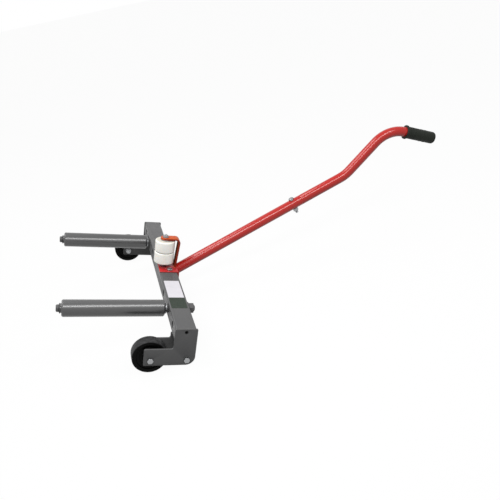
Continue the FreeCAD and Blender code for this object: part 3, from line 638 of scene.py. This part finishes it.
@dataclass(frozen=True)
class Thread:
    """A rolled screw thread on the free end of a bolt or stud."""

    pitch_mm: float
    length_mm: float
    ahead: Point
    paired: bool = False
    mirrored: bool = False
    depth_share: float = 0.6
    chamfer_share: float = 0.8
    steps: int = 36
    rows_per_turn: int = 8

    def trim(self, work: BMesh) -> list[tuple[Vector, Vector, float]]:
        """Shorten each plain shank in a mesh by the thread's length.

        Args:
            work: Mesh of one bolt, or of a pair with one on each side of the jack.

        Returns:
            The end's middle, the direction and the radius in metres of each shank.
        """
        ends = []
        for side in Side if self.paired else (None,):
            bolt = [vert for vert in work.verts if not side or vert.co.y * side.value > 0]
            ahead = LEVEL.heading(self.ahead)
            if self.mirrored and side is Side.RIGHT:
                ahead = -ahead
            limit = max(vert.co.dot(ahead) for vert in bolt) - self.length_mm * MM
            tip = [vert for vert in bolt if vert.co.dot(ahead) > limit]
            for vert in tip:
                vert.co -= ahead * (vert.co.dot(ahead) - limit)
            end = sum((vert.co for vert in tip), Vector()) / len(tip)
            ends.append((end, ahead, max((vert.co - end).length for vert in tip)))
        return ends

    def cut(self, work: BMesh, end: Vector, ahead: Vector, radius: float) -> None:
        """Add the threaded length beyond a trimmed shank, with a chamfered tip.

        Args:
            work: Mesh to add to.
            end: Middle of the shank's end, in metres.
            ahead: Direction of the shank.
            radius: Its radius, in metres.
        """
        arms = spokes(ahead, ahead.orthogonal().normalized(), self.steps)
        rows = round(self.length_mm / self.pitch_mm * self.rows_per_turn)
        rings = []
        for row in range(rows + 1):
            along = self.length_mm * row / rows
            chamfer = max(0.0, along - self.length_mm + self.chamfer_share * self.pitch_mm)
            ring = []
            for step, arm in enumerate(arms):
                groove = abs(2 * ((along / self.pitch_mm - step / self.steps) % 1.0) - 1)
                depth = max(self.depth_share * self.pitch_mm * groove, chamfer)
                ring.append(work.verts.new(end + ahead * along * MM + arm * (radius - depth * MM)))
            rings.append(ring)
        skin_tube(work, rings)


@dataclass(frozen=True)
class WeldBead:
    """A weld bead, laid in overlapping ripples and tapered at its ends."""

    radius_mm: float = 2.3
    ripple_mm: float = 2.8
    ripple_share: float = 0.2
    taper_radii: float = 1.5
    blunt_tip: float = 0.02
    sides: int = 10
    step_mm: float = 0.7

    def lay(self, work: BMesh, corners: Sequence[Point], closed: bool = False) -> None:
        """Lay the bead along a path.

        Args:
            work: Mesh to add to.
            corners: Points of the path in the level frame, in millimetres.
            closed: Whether the path ends where it starts.
        """
        path = [Vector(corner) for corner in corners]
        if closed:
            path.append(path[0])
        places = self.walk(path)
        if closed:
            places.pop()
        count = len(places)
        rings = []
        side = Vector()
        for index, (along, centre) in enumerate(places):
            last = places[index - 1][1] if index or closed else centre
            after = places[(index + 1) % count][1] if index + 1 < count or closed else centre
            ahead = (after - last).normalized()
            side = side - ahead * side.dot(ahead) if side.length else ahead.orthogonal()
            side.normalize()
            ripple = abs(math.cos(math.pi * along / self.ripple_mm))
            swell = 1 - self.ripple_share + self.ripple_share * ripple
            if not closed:
                from_end = min(along, places[-1][0] - along) / (self.taper_radii * self.radius_mm)
                share = min(1.0, from_end)
                swell *= math.sqrt(max(self.blunt_tip, share * (2 - share)))
            rings.append([work.verts.new(LEVEL.matrix @ (centre + arm * self.radius_mm * swell))
                          for arm in spokes(ahead, side, self.sides)])
        skin_tube(work, rings, closed)

    def walk(self, path: list[Vector]) -> list[tuple[float, Vector]]:
        """Step along a path.

        Args:
            path: Corners of the path, in millimetres.

        Returns:
            Distance along the path and place of each step.
        """
        places = []
        done = 0.0
        for start, end in zip(path, path[1:]):
            run = (end - start).length
            count = max(1, round(run / self.step_mm))
            shares = [step / count for step in range(count)]
            places += [(done + run * share, start.lerp(end, share)) for share in shares]
            done += run
        return [*places, (done, path[-1])]


@dataclass(frozen=True)
class Softener:
    """Copies a solid's mesh with its sharp edges broken, as deburred and painted steel has them."""

    edge_mm: float
    segments: int = 2
    crease_deg: float = 32.0
    merge_mm: float = 0.002
    flat_deg: float = 0.4
    facing_limit: float = 0.95

    def dress(
        self, node: str, finish: Finish, thread: Thread | None = None,
        faces: Sequence[tuple[Facing, Finish]] = (),
    ) -> Object:
        """Stand a softened copy in for a solid.

        Args:
            node: The solid's name.
            finish: The finish that it gets.
            thread: The thread on its free end, if it has one.
            faces: The finishes of faces that differ, by the way that they face.

        Returns:
            The new piece, which replaces the solid.
        """
        source = frame["nodes"][node]
        work = bmesh.new()
        work.from_mesh(source.data)
        bmesh.ops.remove_doubles(work, verts=work.verts, dist=self.merge_mm * MM)
        ends = thread.trim(work) if thread else []
        bmesh.ops.dissolve_limit(work, angle_limit=math.radians(self.flat_deg),
                                 use_dissolve_boundaries=False, verts=work.verts, edges=work.edges)
        crease = math.radians(self.crease_deg)
        sharp = [edge for edge in work.edges
                 if len(edge.link_faces) == 2 and edge.calc_face_angle(0.0) > crease]
        bmesh.ops.bevel(work, geom=sharp, offset=self.edge_mm * MM, offset_type="OFFSET",
                        segments=self.segments, profile=0.5, affect="EDGES", clamp_overlap=True)
        bmesh.ops.triangulate(work, faces=[face for face in work.faces if len(face.verts) > 4])
        for end in ends:
            thread.cut(work, *end)
        piece = new_piece(f"{node}_skin", work, finish, source["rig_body"])
        for number, (facing, face_finish) in enumerate(faces, start=1):
            piece.data.materials.append(face_finish.material())
            heading = LEVEL.heading(facing.value)
            for face in piece.data.polygons:
                if face.normal.dot(heading) > self.facing_limit:
                    face.material_index = number
        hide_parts(node)
        return piece


@dataclass(frozen=True)
class SoftLamp:
    """A soft lamp: its place, the point that it faces and its size, in metres, and its power."""

    name: str
    at: Point
    target: Point
    size: Span
    watts: float

    def hang(self) -> None:
        """Add the lamp to the scene."""
        lamp = bpy.data.lights.new(self.name, "AREA")
        lamp.shape = "RECTANGLE"
        lamp.size, lamp.size_y = self.size
        lamp.energy = self.watts
        holder = bpy.data.objects.new(self.name, lamp)
        bpy.context.scene.collection.objects.link(holder)
        holder.location = self.at
        ahead = Vector(self.target) - Vector(self.at)
        holder.rotation_euler = ahead.to_track_quat("-Z", "Y").to_euler()


@dataclass
class Studio:
    """Pale floor, soft lamps and the camera at the photograph's place."""

    ambient: float = 0.27
    floor_size_m: float = 40.0
    floor_colour: str = "#FFFFFF"
    floor_glow: float = 1.12
    floor_glow_share: float = 0.86
    paper_colour: str = "#747474"
    lamps: tuple[SoftLamp, ...] = (
        SoftLamp("overhead_softbox", (-1.2, 0.5, 2.4), (-0.2, 0.0, 0.1), (1.6, 1.6), 50.0),
        SoftLamp("front_strip", (0.0, -1.1, 1.38), (-0.3, -0.2, 0.16), (2.2, 0.28), 27.0),
    )
    camera_at_mm: Point = (-325.86, -1871.41, 879.39)
    heading_deg: float = 18.19
    dip_deg: float = 21.81
    roll_deg: float = 8.55
    lens_mm: float = 43.34
    sensor_mm: float = 36.0

    def build(self) -> None:
        """Set the view, the world, the floor, the lamps and the camera."""
        bpy.context.scene.view_settings.view_transform = "Standard"
        self.add_world()
        self.add_floor()
        for lamp in self.lamps:
            lamp.hang()
        self.add_camera()

    def seen_directly(self, tree: NodeTree) -> NodeSocket:
        """Tell the rays that show the backdrop, to the eye or in gloss and glass.

        Args:
            tree: Node tree of the backdrop.

        Returns:
            1 on a ray that shows the backdrop, 0 on one that only carries its light.
        """
        path = add_node(tree, "ShaderNodeLightPath")
        mirrored = add_node(tree, "ShaderNodeMath", {"operation": "MAXIMUM"}, {
            0: path.outputs["Is Glossy Ray"], 1: path.outputs["Is Transmission Ray"]})
        return add_node(tree, "ShaderNodeMath", {"operation": "MAXIMUM"}, {
            0: path.outputs["Is Camera Ray"], 1: mirrored.outputs["Value"]}).outputs["Value"]

    def add_world(self) -> None:
        """Give a white backdrop to the eye and to gloss, and a soft grey light to the object."""
        world = bpy.data.worlds.new("studio_white")
        world.use_nodes = True
        world.cycles.sampling_method = "NONE"
        bpy.context.scene.world = world
        tree = world.node_tree
        tree.nodes.clear()
        seen = self.seen_directly(tree)
        strength = add_node(tree, "ShaderNodeMapRange", inputs={
            "Value": seen, "To Min": self.ambient, "To Max": 1.0})
        light = add_node(tree, "ShaderNodeBackground", inputs={
            "Color": (1.0, 1.0, 1.0, 1.0), "Strength": strength.outputs["Result"]})
        add_node(tree, "ShaderNodeOutputWorld", inputs={"Surface": light.outputs["Background"]})

    def add_floor(self) -> None:
        """Lay a white floor that keeps a faint shadow."""
        half = self.floor_size_m / 2
        mesh = bpy.data.meshes.new("studio_floor")
        mesh.from_pydata([(-half, -half, 0), (half, -half, 0), (half, half, 0), (-half, half, 0)],
                         [], [(0, 1, 2, 3)])
        floor = bpy.data.objects.new("studio_floor", mesh)
        bpy.context.scene.collection.objects.link(floor)
        material = bpy.data.materials.new("white_paper_sweep")
        material.use_nodes = True
        material.cycles.emission_sampling = "NONE"
        tree = material.node_tree
        tree.nodes.clear()
        paper = add_node(tree, "ShaderNodeBsdfDiffuse", inputs={
            "Color": to_linear(self.paper_colour)})
        glow = add_node(tree, "ShaderNodeEmission", inputs={
            "Color": to_linear(self.floor_colour), "Strength": self.floor_glow})
        share = add_node(tree, "ShaderNodeMath", {"operation": "MULTIPLY"},
                         {0: self.seen_directly(tree), 1: self.floor_glow_share})
        mixed = add_node(tree, "ShaderNodeMixShader", inputs={
            0: share.outputs["Value"], 1: paper.outputs["BSDF"], 2: glow.outputs["Emission"]})
        add_node(tree, "ShaderNodeOutputMaterial", inputs={"Surface": mixed.outputs["Shader"]})
        mesh.materials.append(material)

    def add_camera(self) -> None:
        """Stand the camera where the photograph was taken from, in the jack's level frame."""
        heading, dip, roll = map(math.radians, (self.heading_deg, self.dip_deg, self.roll_deg))
        aim = Matrix.Rotation(-heading, 4, "Z") @ Matrix.Rotation(math.pi / 2 - dip, 4, "X")
        turn = LEVEL.matrix.to_quaternion().to_matrix().to_4x4() @ aim
        camera = bpy.data.cameras.new("photo_camera")
        camera.lens = self.lens_mm
        camera.sensor_width = self.sensor_mm
        camera.sensor_fit = "HORIZONTAL"
        holder = bpy.data.objects.new("photo_camera", camera)
        bpy.context.scene.collection.objects.link(holder)
        place = Matrix.Translation(LEVEL.point(*self.camera_at_mm))
        holder.matrix_world = place @ turn @ Matrix.Rotation(roll, 4, "Z")
        bpy.context.scene.camera = holder


@dataclass
class WeldedFrame:
    """Crossbar and fork plates, the welds between them and a plain film on the crossbar's top."""

    half_width_mm: float = 29.5
    half_height_mm: float = 23.0
    half_length_mm: float = 420.0
    corner_mm: float = 4.0
    inner_plate_mm: Span = (358.0, 363.0)
    film_x_mm: Span = (-25.0, 23.5)
    films_y_mm: tuple[tuple[str, Span, Finish], ...] = (
        ("pale_film", (-232.5, -116.0), PALE_FILM), ("dark_film", (-301.0, -232.9), DARK_FILM))
    film_thickness_mm: float = 0.25
    film_lift_mm: float = 0.02
    film_corner_mm: float = 1.5
    drain_height_mm: float = 13.0
    drain_radius_mm: float = 5.0
    softener: Softener = Softener(edge_mm=0.7)
    bead: WeldBead = WeldBead()

    def build(self) -> None:
        """Dress the crossbar and the four plates, and add the welds and the film."""
        self.softener.dress("crossbar", GREY_COAT)
        for side in Side:
            self.bare_drain(self.softener.dress(f"{side.word}_end_plate", GREY_COAT))
            self.softener.dress(f"{side.word}_inner_plate", GREY_COAT)
            welds = partial(self.lay_welds, side=side)
            build_piece(f"{side.word}_fork_welds", welds, WELD_COAT, "frame")
        for name, span, finish in self.films_y_mm:
            build_piece(name, partial(self.lay_film, span=span), finish, "frame")

    def bare_drain(self, plate: Object) -> None:
        """Paint shade on the wall and rim of an end plate's drain hole, in near-black steel.

        Args:
            plate: The dressed end plate.
        """
        middle = LEVEL.point(0.0, 0.0, self.drain_height_mm)
        reach = (self.drain_radius_mm + self.softener.edge_mm) * MM
        # Near-black on the hole's wall and its rim bevel: painted shade
        plate.data.materials.append(DRAIN_PAINTED_SHADE.material())
        for face in plate.data.polygons:
            away = face.center - middle
            if math.hypot(away.x, away.z) < reach:
                face.material_index = len(plate.data.materials) - 1

    def lay_welds(self, work: BMesh, side: Side) -> None:
        """Weld the end plate round three sides of the crossbar, and the inner plate under it.

        Args:
            work: Mesh to add to.
            side: Side of the jack.
        """
        wide, high, round_off = self.half_width_mm, self.half_height_mm, self.corner_mm
        y = side.value * self.half_length_mm
        path = ((wide, high - round_off), (wide, round_off - high), (wide - round_off, -high),
                (round_off - wide, -high), (-wide, round_off - high), (-wide, high - round_off))
        self.bead.lay(work, [(x, y, z) for x, z in path])
        for plate_y in self.inner_plate_mm:
            y = side.value * plate_y
            self.bead.lay(work, [(round_off - wide, y, -high), (wide - round_off, y, -high)])

    def lay_film(self, work: BMesh, span: Span) -> None:
        """Lay a thin film with rounded corners on the crossbar's top.

        Args:
            work: Mesh to add to.
            span: Where it starts and ends along the crossbar, in millimetres.
        """
        (low, high), (start, end) = self.film_x_mm, span
        outline = rounded_outline([(x, y, self.film_corner_mm) for x, y in (
            (low, start), (high, start), (high, end), (low, end))])
        bottom = self.half_height_mm + self.film_lift_mm
        skin_tube(work, [[work.verts.new(LEVEL.point(x, y, z)) for x, y in outline]
                         for z in (bottom, bottom + self.film_thickness_mm)])


@dataclass
class Wheels:
    """The two moulded wheels with their bushes."""

    radius_mm: float = 51.0
    half_width_mm: float = 18.0
    rim_inner_mm: Span = (37.0, 38.6)
    rim_groove_mm: Point = (43.4, 44.0, 44.6)
    rim_groove_depth_mm: float = 0.6
    web_half_mm: float = 14.0
    ring_mm: tuple[float, ...] = (26.5, 27.2, 29.0, 29.7)
    ring_height_mm: float = 0.9
    hub_mm: float = 19.0
    hub_half_mm: float = 20.0
    hub_draft_mm: float = 1.5
    bore_mm: float = 9.0
    shoulder_mm: float = 3.2
    flash_mm: float = 0.35
    flash_half_mm: Span = (0.7, 0.35)
    tread_depth_mm: float = 2.0
    steps: int = 128

    def build(self) -> None:
        """Turn and dress both wheels."""
        joints = {joint["child"]: joint for joint in frame["joints"]}
        for side in Side:
            node = f"{side.word}_wheel"
            centre = Vector(joints[node]["pos_m"])
            rubber = MouldedRubber(
                f"moulded_hard_rubber_{side.word}", "wheel_rubber", "#040404", "#080808",
                0.36, 0.48, axle=(centre.x, 0.0, centre.z),
                tread_mm=self.radius_mm - self.tread_depth_mm)
            turned = partial(turn_outline, outline=self.section(), start=centre,
                             ahead=Vector((0.0, 1.0, 0.0)), steps=self.steps)
            wheel = build_piece(f"{node}_moulding", turned, rubber, node)
            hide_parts(node)
            Softener(edge_mm=0.3).dress(f"{side.word}_wheel_bush", BRONZE)

    def section(self) -> Profile:
        """Draw the wheel's section: bore, hub, web with a ring, rim, tread and mould flash.

        Returns:
            The section's outline, as places along the axle and radii.
        """
        web, rim = self.web_half_mm, self.half_width_mm
        ring_in, ring_up, ring_down, ring_out = self.ring_mm
        groove_in, groove, groove_out = self.rim_groove_mm
        tread = self.radius_mm - self.flash_mm
        flank = [
            (self.hub_half_mm, self.bore_mm, 0.0),
            (self.hub_half_mm, self.hub_mm, 1.2),
            (web, self.hub_mm + self.hub_draft_mm, 2.0),
            (web, ring_in, 0.4),
            (web + self.ring_height_mm, ring_up, 0.4),
            (web + self.ring_height_mm, ring_down, 0.4),
            (web, ring_out, 0.4),
            (web, self.rim_inner_mm[0], 2.5),
            (rim, self.rim_inner_mm[1], 1.0),
            (rim, groove_in, 0.2),
            (rim - self.rim_groove_depth_mm, groove, 0.3),
            (rim, groove_out, 0.2),
            (rim, tread, self.shoulder_mm),
            (self.flash_half_mm[0], tread, 0.2),
            (self.flash_half_mm[1], self.radius_mm, 0.1),
        ]
        mirrored = [(-along, radius, rounding) for along, radius, rounding in reversed(flank)]
        return rounded_outline(flank + mirrored)


@dataclass
class Arms:
    """Arm shafts, roller tubes and their small parts."""

    tube_start_mm: float = -40.8
    arm_y_mm: float = 262.0
    arm_z_mm: float = 2.5
    tube_length_mm: float = 298.0
    tube_outer_mm: float = 25.5
    tube_inner_mm: float = 20.5
    tube_edge_mm: float = 3.5
    tube_steps: int = 128
    thread: Thread = Thread(pitch_mm=2.5, length_mm=7.0, ahead=Facing.HANDLE.value)

    def build(self) -> None:
        """Dress both arms."""
        for side in Side:
            Softener(edge_mm=0.6).dress(f"{side.word}_arm_shaft", GREY_COAT, self.thread)
            self.build_tube(side)
            Softener(edge_mm=0.5).dress(f"{side.word}_roller_bushes", ROLLER_COAT_PAINTED_SHADE)
        for node in ("arm_nuts", "arm_nut_washers"):
            Softener(edge_mm=0.5).dress(node, GREY_COAT)
        Softener(edge_mm=0.3).dress("root_thrust_washers", ZINC)
        Softener(edge_mm=0.3).dress("tip_washers", GREY_COAT)
        Softener(edge_mm=0.2).dress("tip_rings", PHOSPHATE)

    def build_tube(self, side: Side) -> None:
        """Turn one roller tube with its chamfered ends.

        Args:
            side: Side of the jack.
        """
        start = LEVEL.point(self.tube_start_mm, side.value * self.arm_y_mm, self.arm_z_mm)
        ahead = LEVEL.heading(Facing.ARMS.value)
        length, outer, inner = self.tube_length_mm, self.tube_outer_mm, self.tube_inner_mm
        edge = self.tube_edge_mm
        section = rounded_outline([
            (0.0, inner, 0.4), (length, inner, 0.4), (length, outer - edge, 0.5),
            (length - edge, outer, 2.0), (edge, outer, 2.0), (0.0, outer - edge, 0.5),
        ])
        node = f"{side.word}_roller_tube"
        turned = partial(
            turn_outline, outline=section, start=start, ahead=ahead, steps=self.tube_steps)
        tube = build_piece(f"{node}_turned", turned, ROLLER_COAT_PAINTED_SHADE, f"{side.word}_roller")
        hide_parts(node)


@dataclass
class Bracket:
    """Base, strap, side rollers and stud."""

    strap_foot_x_mm: Span = (23.5, 29.0)
    strap_half_mm: float = 16.0
    bead: WeldBead = WeldBead(radius_mm=1.9, ripple_mm=2.6)
    stud_thread: Thread = Thread(pitch_mm=1.5, length_mm=4.5, ahead=Facing.UP.value)
    plain_nodes: tuple[str, ...] = (
        "side_roller_spacer", "side_roller_middle_washer", "side_roller_top_washer",
        "stud_nut_washer", "stud_nut",
    )

    def build(self) -> None:
        """Dress the bracket and its rollers, and add the strap's welds."""
        # Faces that look along the crossbar get the maroon coat: painted shade
        shaded_sides = [(Facing.LEFT, RED_PAINTED_SHADE_COAT), (Facing.RIGHT, RED_PAINTED_SHADE_COAT)]
        # The rollers' flat ends get the greyer nylon: painted shade
        shaded_ends = [(Facing.UP, NYLON_PAINTED_SHADE_ENDS), (Facing.DOWN, NYLON_PAINTED_SHADE_ENDS)]
        steel = Softener(edge_mm=0.6)
        # The base gets the lighter copy of the red coat: painted light
        steel.dress("bracket_base", RED_PAINTED_LIGHT_BASE_COAT, faces=shaded_sides)
        # The strap's inner face, next to the side rollers, gets the dark brown coat: painted shade
        steel.dress("bracket_strap", STRAP_COAT, faces=[*shaded_sides, (Facing.ARMS, RED_PAINTED_SHADE_INNER_COAT)])
        build_piece("strap_welds", self.lay_welds, STRAP_COAT, "frame")
        for node in ("lower_side_roller", "upper_side_roller"):
            Softener(edge_mm=0.5).dress(node, NYLON, faces=shaded_ends)
        small = Softener(edge_mm=0.3)
        small.dress("side_roller_stud", ZINC, self.stud_thread)
        for node in self.plain_nodes:
            small.dress(node, ZINC)

    def lay_welds(self, work: BMesh) -> None:
        """Weld the strap's foot to the base, along its sides and its inner face.

        Args:
            work: Mesh to add to.
        """
        near, far = self.strap_foot_x_mm
        wide = self.strap_half_mm
        path = ((far, -wide), (near, -wide), (near, wide), (far, wide))
        self.bead.lay(work, [(x, y, BASE_TOP_MM) for x, y in path])


@dataclass
class Handle:
    """Handle tubes, joint bolt and grip.

    The runs are the straight lengths from corner to corner: the first through both tubes, the last
    up to the grip.
    """

    root_mm: Point = (36.0, 0.0, 14.07)
    strap_inset_mm: float = 6.5
    slope_deg: float = 33.6
    tube_radius_mm: float = 17.0
    runs_mm: Point = (669.8, 215.7, 65.5)
    bends_deg: Span = (20.6, -60.2)
    bolt_pitch_mm: float = 1.5
    bolt_thread_mm: float = 12.0
    grip_length_mm: float = 117.0
    grip_radius_mm: float = 20.5
    grip_fit_mm: float = 0.02
    flange_radius_mm: float = 24.0
    flange_width_mm: float = 6.0
    flange_foot_mm: float = 0.4
    end_wall_mm: float = 5.0
    dome_mm: float = 8.5
    groove_places_mm: tuple[float, ...] = (16.0, 20.5, 25.0, 29.5, 34.0)
    groove_half_mm: Span = (1.2, 0.5)
    groove_depth_mm: float = 0.9
    swells_mm: tuple[Span, ...] = (
        (56.0, -0.2), (63.0, 0.5), (70.0, -0.2), (77.0, 0.5), (85.0, -0.1))
    swell_rounding_mm: float = 6.0
    weld_steps: int = 24
    bead: WeldBead = WeldBead(radius_mm=2.2, ripple_mm=2.6)

    def build(self) -> None:
        """Dress the tubes and the joint, weld the root and turn the grip."""
        for node in ("lower_handle_tube", "upper_handle_tube"):
            Softener(edge_mm=0.4).dress(node, RED_COAT)
        slope = math.radians(self.slope_deg)
        thread = Thread(self.bolt_pitch_mm, self.bolt_thread_mm,
                        ahead=(math.sin(slope), 0.0, -math.cos(slope)))
        Softener(edge_mm=0.35).dress("handle_joint_bolt", ZINC, thread)
        Softener(edge_mm=0.35).dress("handle_joint_nut", ZINC)
        build_piece("handle_root_weld", self.lay_weld, RED_COAT, "frame")
        self.build_grip()

    def lay_weld(self, work: BMesh) -> None:
        """Weld the tube's coped end: its lower part to the flange, its upper part to the strap.

        Args:
            work: Mesh to add to.
        """
        x, y, z = self.root_mm
        slope = math.radians(self.slope_deg)
        tall = self.tube_radius_mm / math.cos(slope)
        path: list[Point] = []
        for inset, upper in ((0.0, False), (self.strap_inset_mm, True)):
            middle = z - inset * math.tan(slope)
            start = math.asin((BASE_TOP_MM - middle) / tall)
            sweep = math.pi - 2 * start
            if not upper:
                sweep -= math.tau
            turns = [start + sweep * step / self.weld_steps for step in range(self.weld_steps + 1)]
            arc = [(x - inset, y + self.tube_radius_mm * math.cos(turn),
                    middle + tall * math.sin(turn)) for turn in turns]
            path += reversed(arc) if upper else arc
        self.bead.lay(work, path, closed=True)

    def build_grip(self) -> None:
        """Turn the grip: flange, a row of grooves, two soft finger swells and a domed end."""
        spot = Vector(self.root_mm)
        slope = self.slope_deg
        for run, bend in zip(self.runs_mm, (*self.bends_deg, 0.0)):
            ahead = Vector((math.cos(math.radians(slope)), 0.0, math.sin(math.radians(slope))))
            spot += ahead * run
            slope += bend
        turned = partial(turn_outline, outline=self.grip_section(), start=LEVEL.point(*spot),
                         ahead=LEVEL.heading(ahead))
        grip = build_piece("dipped_grip", turned, GRIP_VINYL, "frame")
        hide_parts("grip")

    def grip_section(self) -> Profile:
        """Draw the grip's section, from its bore out over the flange to the dome and back inside.

        Returns:
            The section's outline, as places along the grip and radii.
        """
        length, radius = self.grip_length_mm, self.grip_radius_mm
        bore = self.tube_radius_mm + self.grip_fit_mm
        lip, floor = self.groove_half_mm
        bottom = radius - self.groove_depth_mm
        inside = length - self.end_wall_mm
        corners = [
            (0.0, bore, 0.0),
            (0.0, self.flange_radius_mm, 2.0),
            (self.flange_width_mm, self.flange_radius_mm, 2.0),
            (self.flange_width_mm + self.flange_foot_mm, radius, 1.0),
        ]
        for place in self.groove_places_mm:
            corners += [(place - lip, radius, 0.4), (place - floor, bottom, 0.3),
                        (place + floor, bottom, 0.3), (place + lip, radius, 0.4)]
        corners += [(place, radius + proud, self.swell_rounding_mm)
                    for place, proud in self.swells_mm]
        corners += [(length, radius, self.dome_mm), (length, 0.0, 0.0), (inside, 0.0, 0.0),
                    (inside, bore, 0.0)]
        return rounded_outline(corners, segments=6)


@dataclass
class Fasteners:
    """Bolts, nuts, washers and spacers of the forks and the bracket."""

    plain_nodes: tuple[str, ...] = (
        "axle_nuts", "axle_washers", "wheel_spacers", "heel_nuts", "heel_washers", "base_nuts",
        "base_washers",
    )
    fork_thread: Thread = Thread(
        pitch_mm=1.5, length_mm=4.5, ahead=Facing.RIGHT.value, paired=True, mirrored=True)
    base_thread: Thread = Thread(
        pitch_mm=1.5, length_mm=4.5, ahead=Facing.DOWN.value, paired=True)
    softener: Softener = Softener(edge_mm=0.4)

    def build(self) -> None:
        """Dress the fasteners, with threads on the bolts' free ends."""
        for node in ("axle_bolts", "heel_bolts"):
            self.softener.dress(node, ZINC, self.fork_thread)
        self.softener.dress("base_bolts", ZINC, self.base_thread)
        for node in self.plain_nodes:
            self.softener.dress(node, ZINC)
        self.softener.dress("heel_spacers", GREY_COAT)


def main() -> None:
    """Build the studio and every sub-assembly."""
    logging.basicConfig(level=logging.INFO, format="%(name)s: %(message)s")
    for part in (Studio(), WeldedFrame(), Wheels(), Arms(), Bracket(), Handle(), Fasteners()):
        LOG.info("building %s", type(part).__name__)
        part.build()


if __name__ == "__main__":
    main()
